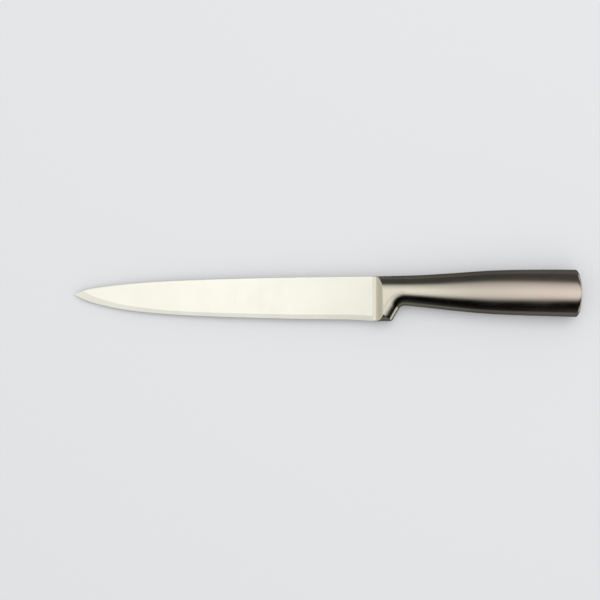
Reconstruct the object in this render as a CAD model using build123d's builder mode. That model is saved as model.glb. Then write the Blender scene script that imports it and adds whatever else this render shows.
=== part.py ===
from build123d import *
import os
from copy import copy
from math import asin, atan2, cos, degrees, radians, sin, sqrt, tan

# Carving knife, all stainless steel, with a hollow flared handle.
# The knife is drawn along X, tip to -X and butt to +X, with its spine to +Y and its edge to -Y,
# and its thickness along Z, even about the plane z = 0. x = 0 is the crest of the bolster, where
# the blade's stated length ends. At the end it is laid on its flank, as it rests on a table.

# Blade
blade_length = 200.0
spine_height = 12.2
heel_depth = 16.6
tip_height = 0.5
stock_thickness = 2.0
thickness_behind_edge = 0.7
tip_thinning = 0.48
bevel_top_height = 3.0
bevel_angle = 6.0
bevel_reach = 6.0
edge_land = 0.06
root_depth = 2.5
tang_length = 42.0
tang_height = 9.0
tang_corner_radius = 1.5

# Bolster
ramp_length = 6.5
ramp_lip = 0.15
ramp_hollow = 2.1
ramp_radius = 4.2
crest_run = 1.6
crest_rise = 0.3
finger_radius = 4.5
guard_angle = 60.0
guard_corner_radius = 3.0
guard_corner_relief = 0.05
guard_bottom_radius = 6.0
spigot_length = 8.0

# Handle
handle_length = 127.1
neck_start = 14.3
neck_joint = 20.0
neck_height = 19.3
neck_thickness = 12.6
neck_end_radius = 4.9
neck_centre_height = 3.1
butt_height = 30.5
butt_thickness = 17.8
butt_end_radius = 6.4
butt_centre_height = 1.25
shell_wall = 0.9

# Butt cap
cap_thickness = 2.2
cap_lip_length = 3.0
cap_lip_wall = 1.0
cap_flat_half_height = 9.0
cap_shoulder_radius = 9.0
rim_radius = 1.2
cap_steps = 6

# Balance weight
weight_share = 0.45
weight_length = 9.0
weight_clearance = 0.2

# Shared fits and the overrun of every cut
fit_clearance = 0.1
overrun = 5.0

# Spine and edge: each point is a share of the blade's length, counted from the bolster,
# and a share of the spine's height or of the heel's depth.
spine_shares = [
    (0.970, 0.25),
    (0.9125, 0.43),
    (0.816, 0.615),
    (0.687, 0.755),
    (0.4935, 0.87),
    (0.25, 0.955),
]
edge_shares = [
    (0.074, 0.955),
    (0.203, 0.925),
    (0.3965, 0.875),
    (0.59, 0.80),
    (0.7515, 0.675),
    (0.848, 0.53),
    (0.9125, 0.37),
    (0.970, 0.15),
]

# Flare of the handle: a place between the neck and the butt, and the shares of the way that the
# height and the centre have gone there from the neck's to the butt's. The thickness grows evenly.
flare_shares = [
    (0.0, 0.0, 0.0),
    (0.14, 0.205, 0.27),
    (0.32, 0.52, 0.51),
    (0.54, 0.83, 0.62),
    (0.77, 0.95, 0.76),
    (1.0, 1.0, 1.0),
]
flare_bays = 20

neck_half_height = neck_height / 2
neck_half_thickness = neck_thickness / 2
front = -ramp_length

# The ground flanks thin from spine to edge. This plane stands across one of them, with its
# first axis along the knife and its second square to the flank.
half_stock = stock_thickness / 2
flank_height = spine_height + heel_depth - bevel_top_height
grind_slope = (half_stock - thickness_behind_edge / 2) / flank_height
axis_half_thickness = half_stock - grind_slope * spine_height
flank_profile = Plane(
    origin=(0, 0, axis_half_thickness),
    x_dir=(1, 0, 0),
    z_dir=(0, -1, -grind_slope),
)
whole_height = spine_height + heel_depth


def oval_join(half_height, half_thickness, end_radius):
    """Where the side arc of an oval of four tangent arcs meets its end arc."""
    end_centre = half_height - end_radius
    spare = half_thickness - end_radius
    side_centre = (end_centre**2 - spare**2) / (2 * spare)
    reach = half_thickness + side_centre - end_radius
    return end_centre * (1 + end_radius / reach), end_radius * side_centre / reach


def oval(centre, half_height, half_thickness, end_radius):
    """An oval of four tangent arcs, its height along the sketch's first axis."""
    join_height, join_thickness = oval_join(half_height, half_thickness, end_radius)
    top = centre + join_height
    bottom = centre - join_height
    with BuildSketch() as section:
        with BuildLine():
            ThreePointArc((bottom, join_thickness), (centre, half_thickness), (top, join_thickness))
            ThreePointArc((top, join_thickness), (centre + half_height, 0), (top, -join_thickness))
            ThreePointArc((top, -join_thickness), (centre, -half_thickness), (bottom, -join_thickness))
            ThreePointArc((bottom, -join_thickness), (centre - half_height, 0), (bottom, join_thickness))
        make_face()
    return section.sketch


def half_oval(centre, half_height, half_thickness, end_radius, side):
    """Half of that oval, above its centre with side 1 or below it with side -1."""
    join_height, join_thickness = oval_join(half_height, half_thickness, end_radius)
    join = centre + side * join_height
    with BuildSketch() as section:
        with BuildLine():
            near_side = TangentArc((centre, half_thickness), (join, join_thickness), tangent=(side, 0))
            end = ThreePointArc(near_side @ 1, (centre + side * half_height, 0), (join, -join_thickness))
            far_side = TangentArc(end @ 1, (centre, -half_thickness), tangent=end % 1)
            Line(far_side @ 1, near_side @ 0)
        make_face()
    return section.sketch


with BuildLine() as flare:
    Spline(flare_shares)


def handle_section(share, inset):
    """A section of the handle, drawn in by the inset, and its place along the knife."""
    place, growth, fall = flare.line @ share
    half_height = neck_half_height + growth * (butt_height - neck_height) / 2
    half_thickness = neck_half_thickness + place * (butt_thickness - neck_thickness) / 2
    end_radius = neck_end_radius + place * (butt_end_radius - neck_end_radius)
    centre = neck_centre_height + fall * (butt_centre_height - neck_centre_height)
    section = oval(centre, half_height - inset, half_thickness - inset, end_radius - inset)
    return section.moved(Location(Plane.YZ.offset(neck_start + place * (handle_length - neck_start))))


def handle_form(inset):
    """The flared oval body of the handle, in short bays, each ruled straight to the next."""
    with BuildPart() as form:
        loft([handle_section(bay / flare_bays, inset) for bay in range(flare_bays + 1)], ruled=True)
    return form.part


def handle_length_of(form, start, end):
    """The part of a handle body between two planes across the knife."""
    with BuildPart() as length_of_form:
        add(form)
        split(bisect_by=Plane.YZ.offset(start), keep=Keep.TOP)
        split(bisect_by=Plane.YZ.offset(end), keep=Keep.BOTTOM)
    return length_of_form.part


outer_form = handle_form(0)
inner_form = handle_form(shell_wall)
fitted_form = handle_form(shell_wall + fit_clearance)
cap_pocket_form = handle_form(shell_wall + fit_clearance + cap_lip_wall)
butt_joint = handle_section(1 - 1 / flare_bays, 0).center().X

# Edge of the blade, from the end of its root forward to the tip.
with BuildLine() as edge_curve:
    heel_line = Line((root_depth, -heel_depth), (0, -heel_depth))
    Spline(
        heel_line @ 1,
        [(-along * blade_length, -down * heel_depth) for along, down in edge_shares],
        (-blade_length, tip_height),
        tangents=[(-1, 0), (-1, 1 / 2)],
    )

# The grinding wedge of one edge bevel, swept along the edge.
bevel_rise = tan(radians(bevel_angle))
with BuildPart() as bevel_wedge:
    with BuildSketch(Plane(origin=edge_curve.line @ 0, x_dir=(0, 0, 1), z_dir=(-1, 0, 0))):
        with BuildLine():
            Polyline(
                (edge_land / 2 - bevel_rise * overrun, -overrun),
                (edge_land / 2 + bevel_rise * bevel_reach, bevel_reach),
                (overrun, bevel_reach),
                (overrun, -overrun),
                close=True,
            )
        make_face()
    sweep(path=edge_curve.line)

# The grinding of one flank: it thins towards the tip from the front of the bolster on, and is
# straight inside the bolster.
with BuildPart() as flank_grind:
    with BuildSketch(flank_profile):
        with BuildLine():
            Polyline(
                (-blade_length - overrun, -tip_thinning / 2),
                (front, 0),
                (root_depth + overrun, 0),
                (root_depth + overrun, overrun),
                (-blade_length - overrun, overrun),
                close=True,
            )
        make_face()
    extrude(amount=whole_height, both=True)

# Blade: a blank cut from sheet, with its tang in one piece with it, ground on both flanks
# from the root to the tip and bevelled along the edge.
with BuildPart() as blade:
    with BuildSketch(Plane.XY.offset(-half_stock)):
        with BuildLine():
            add(edge_curve.line)
            spine = Spline(
                edge_curve.line @ 1,
                [(-along * blade_length, up * spine_height) for along, up in spine_shares],
                (0, spine_height),
            )
            Polyline(spine @ 1, (root_depth, spine_height), edge_curve.line @ 0)
        make_face()
    extrude(amount=stock_thickness)
    add(flank_grind.part, mode=Mode.SUBTRACT)
    add(bevel_wedge.part, mode=Mode.SUBTRACT)
    mirror(about=Plane.XY, mode=Mode.INTERSECT)
    with BuildSketch(Plane.XY.offset(-half_stock)):
        with Locations((root_depth + tang_length / 2, neck_centre_height)):
            Rectangle(tang_length, tang_height)
    extrude(amount=stock_thickness)
    tang_end_corners = blade.edges().filter_by(Axis.Z).group_by(Axis.X)[-1]
    fillet(tang_end_corners, tang_corner_radius)


# Bolster: the neck's oval runs forward from the handle. Its lower half turns about the finger's
# centre and runs down the guard, and a block with flat flanks fills the front, between
# that bend and the blade.
neck_underside = neck_centre_height - neck_half_height
finger_centre = Vector(neck_start, neck_underside - finger_radius)
block_radius = finger_radius + neck_half_height
guard = radians(guard_angle)
guard_out = Vector(-sin(guard), cos(guard))
guard_down = Vector(-cos(guard), -sin(guard))
guard_run = (finger_centre.Y + finger_radius * cos(guard) + heel_depth + overrun) / sin(guard)
bend_inside = finger_centre + guard_out * block_radius
blank_front = front - guard_run
guard_plane = Plane(
    origin=finger_centre + guard_out * finger_radius,
    x_dir=guard_out,
    z_dir=guard_down,
)

with BuildPart() as bolster_blank:
    # the crown of the neck
    with BuildSketch(Plane.YZ.offset(front)):
        add(half_oval(neck_centre_height, neck_half_height, neck_half_thickness, neck_end_radius, 1))
    extrude(amount=neck_start - front)
    # the bend behind the finger
    with BuildSketch(Plane.YZ.offset(neck_start)):
        add(half_oval(neck_centre_height, neck_half_height, neck_half_thickness, neck_end_radius, -1))
    revolve(axis=Axis(finger_centre, (0, 0, 1)), revolution_arc=guard_angle)
    # the back of the guard
    with BuildSketch(guard_plane):
        add(half_oval(neck_half_height, neck_half_height, neck_half_thickness, neck_end_radius, -1))
    extrude(amount=guard_run)
    # the block in front
    with BuildSketch(Plane.XY.offset(-neck_half_thickness)):
        with BuildLine():
            top = Line((blank_front, neck_centre_height), (neck_start, neck_centre_height))
            bend = ThreePointArc(
                top @ 1,
                finger_centre + Vector(-sin(guard / 2), cos(guard / 2)) * block_radius,
                bend_inside,
            )
            back = Line(bend @ 1, bend_inside + guard_down * guard_run)
            Polyline(back @ 1, (blank_front, (back @ 1).Y), top @ 0)
        make_face()
    extrude(amount=neck_thickness)

# What the bolster keeps of that blank: the guard's bottom is rounded across, its corner behind
# is rounded from the side, and its crown is ground down to meet the blade's spine.
guard_back = guard_plane.origin - guard_out * guard_corner_relief
guard_corner = guard_back + guard_down * ((guard_back.Y + heel_depth) / sin(guard))
bounds_top = spine_height + overrun
with BuildPart() as bolster_bounds:
    with BuildSketch(Plane.YZ.offset(front)):
        with BuildLine():
            FilletPolyline(
                (bounds_top, neck_half_thickness),
                (-heel_depth, neck_half_thickness),
                (-heel_depth, -neck_half_thickness),
                (bounds_top, -neck_half_thickness),
                radius=guard_bottom_radius,
            )
            Line((bounds_top, -neck_half_thickness), (bounds_top, neck_half_thickness))
        make_face()
    extrude(amount=ramp_length + neck_start)
    with BuildSketch(Plane.XY.offset(-neck_half_thickness)):
        with BuildLine():
            FilletPolyline(
                (front, -heel_depth),
                (guard_corner.X, -heel_depth),
                guard_back - guard_down * finger_radius,
                radius=guard_corner_radius,
            )
            Polyline(
                guard_back - guard_down * finger_radius,
                (neck_start, guard_back.Y),
                (neck_start, neck_centre_height + neck_half_height),
                (front, spine_height),
                (front, -heel_depth),
            )
        make_face()
    extrude(amount=neck_thickness, mode=Mode.INTERSECT)

# The run-out of the grinding wheel on one side, square to the ground flank: a ramp that starts
# hollow at the blade and rounds over at the bolster's crest.
ramp_rise = neck_half_thickness - axis_half_thickness
with BuildPart() as ramp_cut:
    with BuildSketch(flank_profile):
        with BuildLine():
            ramp = FilletPolyline(
                (front, ramp_lip),
                (front + ramp_hollow, ramp_lip),
                (0, ramp_rise + crest_rise),
                (crest_run, ramp_rise + 2 * crest_rise),
                radius=ramp_radius,
            )
            Polyline(
                ramp @ 1,
                (crest_run, ramp_rise + overrun),
                (front - overrun, ramp_rise + overrun),
                (front - overrun, ramp_lip),
                ramp @ 0,
            )
        make_face()
    extrude(amount=whole_height, both=True)

# The clearance round the tang, which passes through the bolster into the hollow handle.
with BuildPart() as tang_slot:
    with BuildSketch(Plane.YZ.offset(root_depth)):
        with Locations((neck_centre_height, 0)):
            Rectangle(tang_height + 2 * fit_clearance, stock_thickness + 2 * fit_clearance)
    extrude(amount=tang_length)

with BuildPart() as bolster:
    add(bolster_blank.part)
    add(bolster_bounds.part, mode=Mode.INTERSECT)
    add(ramp_cut.part, mode=Mode.SUBTRACT)
    add(mirror(ramp_cut.part, about=Plane.XY), mode=Mode.SUBTRACT)
    add(handle_length_of(outer_form, neck_start, neck_joint))
    add(handle_length_of(fitted_form, neck_joint, neck_joint + spigot_length))
    add(blade.part, mode=Mode.SUBTRACT)
    add(tang_slot.part, mode=Mode.SUBTRACT)

# Handle shells: two stampings that meet on the knife's middle plane, welded and ground flush.
with BuildPart() as shell_pair:
    add(handle_length_of(outer_form, neck_joint, butt_joint))
    add(inner_form, mode=Mode.SUBTRACT)

with BuildPart() as handle_shell_left:
    add(shell_pair.part)
    split(bisect_by=Plane.XY, keep=Keep.TOP)

with BuildPart() as handle_shell_right:
    add(shell_pair.part)
    split(bisect_by=Plane.XY, keep=Keep.BOTTOM)

# Butt cap: a shallow drawn cup, whose lip seats inside the shells. Its end is flat in the
# middle, drawn in towards spine and edge, and rounded along its rim.
cap_drop = butt_height / 2 - cap_flat_half_height
shoulder_angle = asin(cap_drop / cap_shoulder_radius)


def cap_section(step):
    """The section of the cap's rounded end at one of its steps, counted from the flat."""
    turn = shoulder_angle * step / cap_steps
    depth = cap_shoulder_radius * (1 - cos(turn))
    half_height = cap_flat_half_height + cap_shoulder_radius * sin(turn)
    rim_left = max(rim_radius - depth, 0)
    inset = rim_radius - sqrt(rim_radius**2 - rim_left**2)
    section = oval(butt_centre_height, half_height, butt_thickness / 2 - inset, butt_end_radius - inset)
    return section.moved(Location(Plane.YZ.offset(handle_length - depth)))


with BuildPart() as butt_cap:
    rounded_end = [cap_section(step) for step in range(cap_steps, -1, -1)]
    loft([handle_section(1 - 1 / flare_bays, 0), *rounded_end], ruled=True)
    add(handle_length_of(fitted_form, butt_joint - cap_lip_length, butt_joint))
    add(handle_length_of(cap_pocket_form, neck_joint, handle_length - cap_thickness), mode=Mode.SUBTRACT)

# Balance weight: a slug sawn from oval bar, which stands in the hollow behind the tang.
with BuildPart() as balance_weight:
    extrude(handle_section(weight_share, shell_wall + weight_clearance), amount=weight_length)

# The knife lies on its flank: it touches down at the bolster's crest and where the butt is
# thickest, so it is turned by the angle between them and stood on z = 0 about its own middle.
thickest = cap_section(cap_steps).center().X
lie_angle = degrees(atan2((butt_thickness - neck_thickness) / 2, thickest))
pieces = (blade, bolster, handle_shell_left, handle_shell_right, butt_cap, balance_weight)
whole_knife = Compound(children=[copy(piece.part).rotate(Axis.Y, -lie_angle) for piece in pieces])
bounds = whole_knife.bounding_box()
stand = Location((-bounds.center().X, -bounds.center().Y, -bounds.min.Z))
place = stand * Location((0, 0, 0), (0, -lie_angle, 0))
for piece in pieces:
    piece.part.move(place)

blade.part.label = "blade"
bolster.part.label = "bolster"
handle_shell_left.part.label = "handle_shell_left"
handle_shell_right.part.label = "handle_shell_right"
butt_cap.part.label = "butt_cap"
balance_weight.part.label = "balance_weight"

os.makedirs("parts", exist_ok=True)
export_step(blade.part, "parts/blade.step")
export_step(bolster.part, "parts/bolster.step")
export_step(handle_shell_left.part, "parts/handle_shell_left.step")
export_step(handle_shell_right.part, "parts/handle_shell_right.step")
export_step(butt_cap.part, "parts/butt_cap.step")
export_step(balance_weight.part, "parts/balance_weight.step")
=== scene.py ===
from math import acos, asin, copysign, cos, pi, radians, sin, sqrt

import bmesh
import bpy
from mathutils import Matrix, Vector


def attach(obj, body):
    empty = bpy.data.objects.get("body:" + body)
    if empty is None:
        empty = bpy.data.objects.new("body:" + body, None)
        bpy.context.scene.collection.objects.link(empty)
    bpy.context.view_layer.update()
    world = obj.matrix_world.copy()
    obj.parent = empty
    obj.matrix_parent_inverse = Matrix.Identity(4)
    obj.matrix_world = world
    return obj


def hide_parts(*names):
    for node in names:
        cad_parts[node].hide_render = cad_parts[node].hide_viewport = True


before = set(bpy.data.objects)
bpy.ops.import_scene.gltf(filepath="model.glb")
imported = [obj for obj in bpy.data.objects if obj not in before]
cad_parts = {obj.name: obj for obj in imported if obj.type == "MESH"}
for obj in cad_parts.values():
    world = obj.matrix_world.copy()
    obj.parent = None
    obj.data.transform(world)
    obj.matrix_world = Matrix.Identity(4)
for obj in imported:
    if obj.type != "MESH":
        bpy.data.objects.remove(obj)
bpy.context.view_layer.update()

# Blade: a blank of stainless sheet with its tang, ground thin on both flanks and bevelled along
# the edge. The belt runs across it, and a last fine belt leaves it a bright even satin.


def colour(code):
    """An sRGB hex colour as the linear colour that the shader works in."""
    parts = [int(code[i : i + 2], 16) / 255 for i in (1, 3, 5)]
    linear = [c / 12.92 if c <= 0.04045 else ((c + 0.055) / 1.055) ** 2.4 for c in parts]
    return (*linear, 1)


def node(material, kind, links=(), **settings):
    """Adds one node, with its settings, and links (socket, from node, its output) into it."""
    made = material.node_tree.nodes.new(kind)
    for name, value in settings.items():
        if name.startswith("in_"):
            made.inputs[name[3:].replace("_", " ")].default_value = value
        else:
            setattr(made, name, value)
    for socket, source, output in links:
        material.node_tree.links.new(source.outputs[output], made.inputs[socket])
    return made


def new_material(name):
    """An empty node material with its output node."""
    made = bpy.data.materials.new(name)
    made.use_nodes = True
    made.node_tree.nodes.clear()
    return made, node(made, "ShaderNodeOutputMaterial")


def set_stops(ramp_node, stops):
    """Gives a colour ramp its stops, each a place from 0 to 1 and a colour."""
    ramp = ramp_node.color_ramp
    while len(ramp.elements) < len(stops):
        ramp.elements.new(1.0)
    for element, (place, tone) in zip(ramp.elements, stops):
        element.position = place
        element.color = tone


# Where tint and finish start and stop changing along the knife, in metres.
bolster_place, butt_place = 0.036, 0.15

# Handling wears the steel in patches of about 17 mm, and moves its roughness this far each way.
patches_per_metre = 60.0
wear_spread = 0.04

# The broken edges end between these two places, ahead of the bend under the finger, where the
# bolster has no edges left and runs smoothly on into the handle.
broken_to, whole_from = 0.0445, 0.046


def ground_steel(name, tints, finish, pitch, length, depth, across=False, edge_radius=None):
    """Stainless steel ground in lines of that pitch, length and depth, along X or across it.

    Tint and finish each go from the one at the bolster to the one at the butt. An edge radius
    breaks the edges ahead of the finger bend, as the wheel does.
    """
    material, output = new_material(name)
    place = node(material, "ShaderNodeTexCoord")
    split = node(material, "ShaderNodeSeparateXYZ", [("Vector", place, "Object")])
    way_back = node(
        material,
        "ShaderNodeMapRange",
        [("Value", split, "X")],
        in_From_Min=bolster_place,
        in_From_Max=butt_place,
    )
    tint = node(material, "ShaderNodeValToRGB", [("Fac", way_back, "Result")])
    set_stops(tint, [(0, colour(tints[0])), (1, colour(tints[1]))])
    stretch = (1 / pitch, 1 / length, 1 / length) if across else (1 / length, 1 / pitch, 1 / pitch)
    lines_at = node(material, "ShaderNodeMapping", [("Vector", place, "Object")], in_Scale=stretch)
    lines = node(
        material,
        "ShaderNodeTexNoise",
        [("Vector", lines_at, "Vector")],
        in_Scale=1.0,
        in_Detail=2.0,
    )
    handling = node(
        material,
        "ShaderNodeTexNoise",
        [("Vector", place, "Object")],
        in_Scale=patches_per_metre,
        in_Detail=4.0,
    )
    wear = node(
        material,
        "ShaderNodeMix",
        [("A", lines, "Fac"), ("B", handling, "Fac")],
        in_Factor=0.5,
    )
    worn = node(
        material,
        "ShaderNodeMapRange",
        [("Value", wear, "Result")],
        in_From_Min=0.35,
        in_From_Max=0.65,
        in_To_Min=-wear_spread,
        in_To_Max=wear_spread,
    )
    duller = node(
        material,
        "ShaderNodeMapRange",
        [("Value", way_back, "Result")],
        in_To_Min=finish[0],
        in_To_Max=finish[1],
    )
    roughness = node(
        material,
        "ShaderNodeMath",
        [(0, duller, "Result"), (1, worn, "Result")],
        operation="ADD",
    )
    bump = node(
        material,
        "ShaderNodeBump",
        [("Height", lines, "Fac")],
        in_Strength=1.0,
        in_Distance=depth,
    )
    if edge_radius:
        fading = node(
            material,
            "ShaderNodeMapRange",
            [("Value", split, "X")],
            in_From_Min=broken_to,
            in_From_Max=whole_from,
            in_To_Min=edge_radius,
            in_To_Max=0.0,
        )
        broken = node(material, "ShaderNodeBevel", [("Radius", fading, "Result")], samples=8)
        material.node_tree.links.new(broken.outputs["Normal"], bump.inputs["Normal"])
    steel = node(
        material,
        "ShaderNodeBsdfPrincipled",
        [
            ("Base Color", tint, "Color"),
            ("Roughness", roughness, "Value"),
            ("Normal", bump, "Normal"),
        ],
        in_Metallic=1.0,
    )
    material.node_tree.links.new(steel.outputs["BSDF"], output.inputs["Surface"])
    return material


# Blade steel: cream-white satin that mirrors only as a soft sheen. The real belt lines are 0.05 mm
# apart; they are drawn at 0.2 mm, square to the edge, so that they hold together in a picture.
blade_satin = ground_steel(
    "blade_satin_steel",
    tints=("#E9E7DA", "#E9E7DA"),
    finish=(0.22, 0.22),
    pitch=0.0002,
    length=0.012,
    depth=0.0000008,
    across=True,
)
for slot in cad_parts["blade"].material_slots:
    slot.material = blade_satin

# Bolster: cast stainless, welded round the blade's root. It is ground and polished in one go with
# the handle, so the same finish runs on over the joint, and the wheel breaks the guard's edges.

# Bolster and handle steel: nearly bright at the bolster, with fairly sharp reflections, and a
# satin, a little duller and warmer, towards the butt. The brushed lines run lengthwise and are
# too fine to see, so they are drawn at 0.25 mm.
knife_steel = {
    "tints": ("#D3CFBE", "#CDBFB3"),
    "finish": (0.13, 0.19),
    "pitch": 0.00025,
    "length": 0.03,
}
bolster_polish = ground_steel(
    "bolster_polished_steel", depth=0.0000008, edge_radius=0.0005, **knife_steel
)
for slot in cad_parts["bolster"].material_slots:
    slot.material = bolster_polish

# The bolster's bend under the finger: a smooth round of steel, turned about the finger's centre.
# The solid has a notch in it there, and this skin covers it.

# How the knife lies on its flank: from its own axes, with the handle along X, to the floor's.
knife_place = (0.036362, -0.0000387, 0.0062994)
knife_tilt = radians(-1.19564)
knife_lies = Matrix.Translation(knife_place) @ Matrix.Rotation(knife_tilt, 4, "Y")

# Edges that turn more sharply than this stay crisp.
crisp_angle = radians(30)


def skin(name, rings, material, replaced=None):
    """Stands a closed skin over rings of points in mm, in place of a CAD node if one is named."""
    made = bmesh.new()
    loops = [[made.verts.new([c / 1000 for c in point]) for point in ring] for ring in rings]
    for one, other in zip(loops, loops[1:]):
        for i in range(len(one)):
            made.faces.new((one[i - 1], one[i], other[i], other[i - 1]))
    bmesh.ops.holes_fill(made, edges=[edge for edge in made.edges if edge.is_boundary])
    bmesh.ops.transform(made, matrix=knife_lies, verts=made.verts)
    bmesh.ops.recalc_face_normals(made, faces=made.faces)
    mesh = bpy.data.meshes.new(name)
    made.to_mesh(mesh)
    made.free()
    mesh.shade_smooth()
    mesh.set_sharp_from_angle(angle=crisp_angle)
    mesh.materials.append(material)
    piece = bpy.data.objects.new(name, mesh)
    bpy.context.scene.collection.objects.link(piece)
    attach(piece, "root")
    if replaced:
        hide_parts(replaced)
    return mesh


# The skin stands a hair proud of the solid and sinks under it at its borders. Its shading comes
# from the true round, so that nothing shows where it runs out. All sizes are in mm.
finger_centre = (14.3, -11.05)
finger_radius = 4.5
bend_angle = radians(60)
neck_end_radius = 4.9
bend_depth = 2.2
bend_proud, border_sunk = 0.01, 0.03
bend_half_turn = acos(1 - bend_depth / neck_end_radius)
bend_steps = 24
bend_rings, bend_normals = [], []
for step in range(bend_steps + 1):
    about = bend_angle * step / bend_steps
    ring = []
    for across in range(bend_steps + 1):
        turn = bend_half_turn * (2 * across / bend_steps - 1)
        border = step in (0, bend_steps) or across in (0, bend_steps)
        radius = neck_end_radius - border_sunk if border else neck_end_radius + bend_proud
        reach = finger_radius + neck_end_radius - radius * cos(turn)
        along = finger_centre[0] - reach * sin(about)
        up = finger_centre[1] + reach * cos(about)
        ring.append((along, up, radius * sin(turn)))
        facing = Vector((sin(about) * cos(turn), -cos(about) * cos(turn), sin(turn)))
        bend_normals.append(knife_lies.to_3x3() @ facing)
    bend_rings.append(ring)
bend_mesh = skin("bolster_finger_bend", bend_rings, bolster_polish)
bend_mesh.normals_split_custom_set_from_vertices(bend_normals)

# Balance weight: a slug sawn from oval bar of mild steel and sealed in the hollow handle.

# Weight steel: dull and grey, with the saw's lines 0.6 mm apart. Nobody sees it again.
weight_steel = ground_steel(
    "weight_sawn_steel",
    tints=("#8F8B84", "#8F8B84"),
    finish=(0.5, 0.5),
    pitch=0.0006,
    length=0.01,
    depth=0.00001,
    across=True,
)
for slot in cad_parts["balance_weight"].material_slots:
    slot.material = weight_steel

# Handle: two stampings of stainless sheet, welded along spine and belly and at the neck, then
# ground flush and brushed lengthwise as one body, so that no seam is left to see.
shell_wall = 0.9
handle_start, handle_end = 14.3, 127.1
neck_joint, butt_joint = 20.0, 121.09

# Half height, half thickness, end radius and centre height of the oval at the neck and the butt.
neck_size = (9.65, 6.3, 4.9, 3.1)
butt_size = (15.25, 8.9, 6.4, 1.25)

# How far height and centre have gone from the neck's to the butt's at each place between them.
flare = [
    (0.0, 0.0, 0.0),
    (0.07108, 0.09414, 0.14090),
    (0.14009, 0.20515, 0.27016),
    (0.21160, 0.32772, 0.38697),
    (0.28893, 0.46432, 0.48230),
    (0.37365, 0.61477, 0.54473),
    (0.47384, 0.76192, 0.59006),
    (0.60277, 0.87552, 0.65260),
    (0.74740, 0.94233, 0.74356),
    (0.88533, 0.98200, 0.85806),
    (1.0, 1.0, 1.0),
]


def flare_slope(index, column):
    """How fast the flare changes at one of its points."""
    before, after = flare[max(index - 1, 0)], flare[min(index + 1, len(flare) - 1)]
    return (after[column] - before[column]) / (after[0] - before[0])


def flare_at(place, column):
    """The flare at a place, on a smooth curve through its points."""
    upper = max(1, min(len(flare) - 1, sum(row[0] < place for row in flare)))
    start, end = flare[upper - 1], flare[upper]
    step = end[0] - start[0]
    share = (place - start[0]) / step
    return (
        start[column] * (1 + 2 * share) * (1 - share) ** 2
        + end[column] * share**2 * (3 - 2 * share)
        + step * flare_slope(upper - 1, column) * share * (1 - share) ** 2
        - step * flare_slope(upper, column) * share**2 * (1 - share)
    )


def handle_size(along):
    """The four sizes of the handle's oval there, in mm."""
    place = (along - handle_start) / (handle_end - handle_start)
    growth, fall = flare_at(place, 1), flare_at(place, 2)
    shares = (growth, place, place, fall)
    return [neck + share * (butt - neck) for neck, butt, share in zip(neck_size, butt_size, shares)]


def oval(along, size, inset, turns):
    """Points of an oval of four tangent arcs across the knife, one for each turn of its normal."""
    half_height, half_thickness, end_radius, centre = size
    end_centre, spare = half_height - end_radius, half_thickness - end_radius
    side_centre = (end_centre**2 - spare**2) / (2 * spare)
    points = []
    for turn in turns:
        up, out = sin(turn), cos(turn)
        if abs(out) * end_centre > abs(up) * side_centre:
            radius = half_thickness + side_centre - inset
            points.append((along, centre + radius * up, radius * out - copysign(side_centre, out)))
        else:
            radius = end_radius - inset
            points.append((along, centre + copysign(end_centre, up) + radius * up, radius * out))
    return points


handle_satin = ground_steel("handle_brushed_steel", depth=0.000001, **knife_steel)
shell_stations = 48
oval_step = 3
half_turn = [radians(oval_step * step - 90) for step in range(180 // oval_step + 1)]
for name, side in (("handle_shell_left", 1), ("handle_shell_right", -1)):
    rings = []
    for station in range(shell_stations + 1):
        along = neck_joint + (butt_joint - neck_joint) * station / shell_stations
        outside = oval(along, handle_size(along), 0, half_turn)
        inside = oval(along, handle_size(along), shell_wall, half_turn)
        rings.append([(x, y, side * z) for x, y, z in outside + inside[::-1]])
    skin(name + "_finished", rings, handle_satin, name)

# Butt cap: a drawn end plate, welded into the shells and brushed with them. Its end is flat in
# the middle and drawn in on an arc towards spine and belly, and its rim is rounded.
cap_flat_half_height = 9.0
cap_arc_radius = 9.0
rim_radius = 1.2
corner_radius = 1.5
plate, lip_length, lip_clearance, lip_wall = 2.2, 3.0, 0.1, 1.0
straight_wall = 1.3
full_turn = [radians(oval_step * step) for step in range(360 // oval_step)]
corner_height = butt_size[0] - corner_radius
corner_turn = asin((corner_height - cap_flat_half_height) / (cap_arc_radius - corner_radius))
corner_depth = cap_arc_radius - (cap_arc_radius - corner_radius) * cos(corner_turn)


def cap_ring(turn):
    """A ring of the cap's rounded end, where its outline has turned that far from the flat."""
    if turn < corner_turn:
        depth = cap_arc_radius * (1 - cos(turn))
        half_height = cap_flat_half_height + cap_arc_radius * sin(turn)
    else:
        depth = corner_depth - corner_radius * cos(turn)
        half_height = corner_height + corner_radius * sin(turn)
    size = handle_size(handle_end - depth)
    size[0] -= butt_size[0] - half_height
    inset = rim_radius - sqrt(rim_radius**2 - max(rim_radius - depth, 0) ** 2)
    return oval(handle_end - depth, size, inset, full_turn)


def cap_wall(along, inset):
    """A ring of the cap's wall, drawn in from the handle's outside."""
    return oval(along, handle_size(along), inset, full_turn)


lip_outside = shell_wall + lip_clearance
lip_inside = lip_outside + lip_wall
rings = [
    cap_wall(handle_end - plate, lip_inside),
    cap_wall(butt_joint - lip_length, lip_inside),
    cap_wall(butt_joint - lip_length, lip_outside),
    cap_wall(butt_joint, lip_outside),
    cap_wall(butt_joint, 0),
    cap_wall(butt_joint + straight_wall, 0),
]
end_step = 2.5
rings += [cap_ring(radians(90 - end_step * step)) for step in range(round(90 / end_step) + 1)]
skin("butt_cap_finished", rings, handle_satin, "butt_cap")

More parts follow.
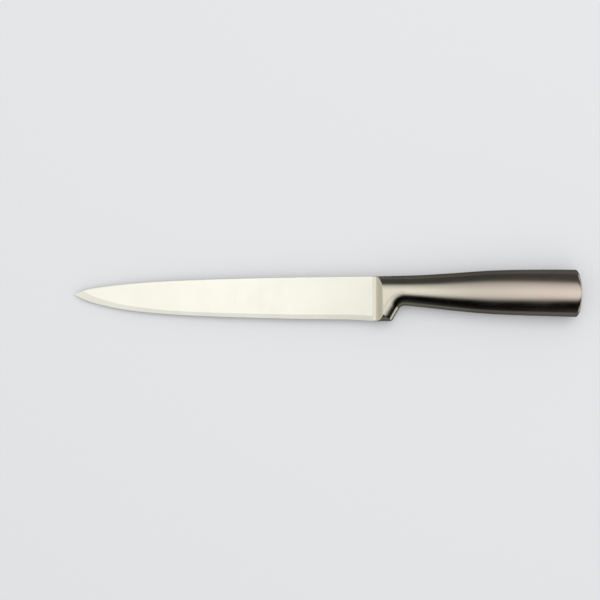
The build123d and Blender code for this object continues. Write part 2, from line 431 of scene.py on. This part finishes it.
# Floor, light and camera: pale paper under a soft lamp, as in a studio. The paper is wide enough
# to fill a picture that is taken from low down.
floor_half_width = 12.0
floor_made = bmesh.new()
bmesh.ops.create_grid(floor_made, x_segments=1, y_segments=1, size=floor_half_width)
floor_mesh = bpy.data.meshes.new("floor")
floor_made.to_mesh(floor_mesh)
floor_made.free()
floor = bpy.data.objects.new("floor", floor_mesh)
bpy.context.scene.collection.objects.link(floor)
floor.visible_glossy = False
floor_paper, floor_output = new_material("floor_matt_paper")
paper = node(
    floor_paper,
    "ShaderNodeBsdfPrincipled",
    in_Base_Color=colour("#DDDEE0"),
    in_Roughness=0.9,
    in_Specular_IOR_Level=0.0,
)
floor_paper.node_tree.links.new(paper.outputs["BSDF"], floor_output.inputs["Surface"])
floor_mesh.materials.append(floor_paper)

# A glowing tent round the knife, which only the steel sees: it is no lamp, and its tones paint the
# bright band and dark rims reflected in the steel. A bright strip glows along its top, soft towards
# the spine's side and ending sooner on the edge's side. Next to the strip it is a dark sheet that
# stands in for shade, and from its sides on down it is a dim grey.
tent_radius, tent_length = 0.7, 2.1
tent_made = bmesh.new()
bmesh.ops.create_cone(
    tent_made,
    cap_ends=False,
    segments=96,
    radius1=tent_radius,
    radius2=tent_radius,
    depth=tent_length,
    matrix=Matrix.Rotation(pi / 2, 4, "Y"),
)
tent_mesh = bpy.data.meshes.new("light_tent")
tent_made.to_mesh(tent_mesh)
tent_made.free()
tent = bpy.data.objects.new("light_tent", tent_mesh)
bpy.context.scene.collection.objects.link(tent)
tent.visible_camera = tent.visible_diffuse = tent.visible_shadow = tent.visible_transmission = False
glowing_tent_sheet, tent_output = new_material("glowing_tent_sheet")
tent_place = node(glowing_tent_sheet, "ShaderNodeTexCoord")
tent_split = node(glowing_tent_sheet, "ShaderNodeSeparateXYZ", [("Vector", tent_place, "Object")])
round_angle = node(
    glowing_tent_sheet,
    "ShaderNodeMath",
    [(0, tent_split, "Y"), (1, tent_split, "Z")],
    operation="ARCTAN2",
)
round_share = node(
    glowing_tent_sheet,
    "ShaderNodeMapRange",
    [("Value", round_angle, "Value")],
    in_From_Min=-pi,
    in_From_Max=pi,
)
round_tone = node(glowing_tent_sheet, "ShaderNodeValToRGB", [("Fac", round_share, "Result")])

# Glow of the tent by its angle from straight up, in degrees, positive on the spine's side: the
# painted reflection that the steel shows at each turn of its surface.
round_stops = [
    (-180, 0.1),
    (-105, 0.12),
    (-90, 0.16),
    (-74, 0.14),
    (-62, 0.04),
    (-50, 0.01),
    (-42, 0.0),
    (-30, 0.0),
    (-26, 0.05),
    (-22, 0.3),
    (-18, 0.6),
    (-13, 0.85),
    (-8, 0.96),
    (0, 1.0),
    (6, 1.0),
    (12, 0.9),
    (18, 0.78),
    (24, 0.66),
    (29, 0.5),
    (33, 0.25),
    (37, 0.09),
    (42, 0.06),
    (60, 0.06),
    (72, 0.11),
    (90, 0.13),
    (105, 0.1),
    (180, 0.1),
]
round_tones = [((angle + 180) / 360, (tone, tone, tone, 1)) for angle, tone in round_stops]
set_stops(round_tone, round_tones)
tent_reach = 0.3
along_share = node(
    glowing_tent_sheet,
    "ShaderNodeMapRange",
    [("Value", tent_split, "X")],
    in_From_Min=-tent_reach,
    in_From_Max=tent_reach,
)
along_tone = node(glowing_tent_sheet, "ShaderNodeValToRGB", [("Fac", along_share, "Result")])

# Its glow also changes along the knife, by the place in metres, painting lighter and darker
# stretches into the steel's reflection.
along_stops = [
    (-0.25, 0.94),
    (-0.13, 1.0),
    (-0.07, 0.99),
    (0.0, 0.89),
    (0.03, 0.83),
    (0.064, 0.94),
    (0.084, 0.76),
    (0.116, 0.68),
    (0.15, 0.70),
    (0.19, 0.86),
    (0.23, 0.92),
]
along_tones = [
    ((along + tent_reach) / (2 * tent_reach), (tone, tone, tone, 1)) for along, tone in along_stops
]
set_stops(along_tone, along_tones)
tent_glow_tone = node(
    glowing_tent_sheet,
    "ShaderNodeMath",
    [(0, round_tone, "Color"), (1, along_tone, "Color")],
    operation="MULTIPLY",
)
# The tent's own glow, though it is no lamp: the painted reflections and painted dark rims seen in
# the steel.
glow = node(glowing_tent_sheet, "ShaderNodeEmission", [("Color", tent_glow_tone, "Value")], in_Strength=1.3)
glowing_tent_sheet.node_tree.links.new(glow.outputs["Emission"], tent_output.inputs["Surface"])
tent_mesh.materials.append(glowing_tent_sheet)

lamp = bpy.data.lights.new("softbox", "AREA")
lamp.shape = "RECTANGLE"
lamp.size = 1.6
lamp.size_y = 1.6
lamp.energy = 11.0
softbox = bpy.data.objects.new("softbox", lamp)
softbox.location = (0.3, 0.5, 1.6)
softbox.rotation_euler = (radians(-17), radians(10), 0)
softbox.visible_glossy = False
bpy.context.scene.collection.objects.link(softbox)

world = bpy.data.worlds.new("studio")
bpy.context.scene.world = world
world.use_nodes = True
world.node_tree.nodes.clear()
world_output = node(world, "ShaderNodeOutputWorld")
walls = node(world, "ShaderNodeBackground", in_Color=(1, 1, 1, 1), in_Strength=0.8)
world.node_tree.links.new(walls.outputs["Background"], world_output.inputs["Surface"])

# The photograph is taken straight down. At this height a pixel covers 0.645 mm.
lens = bpy.data.cameras.new("photo")
lens.lens = 85.0
lens.sensor_width = 36.0
photo = bpy.data.objects.new("photo", lens)
photo.location = (-0.0171, -0.0030, 0.922)
bpy.context.scene.collection.objects.link(photo)
bpy.context.scene.camera = photo

bpy.context.scene.view_settings.view_transform = "Standard"
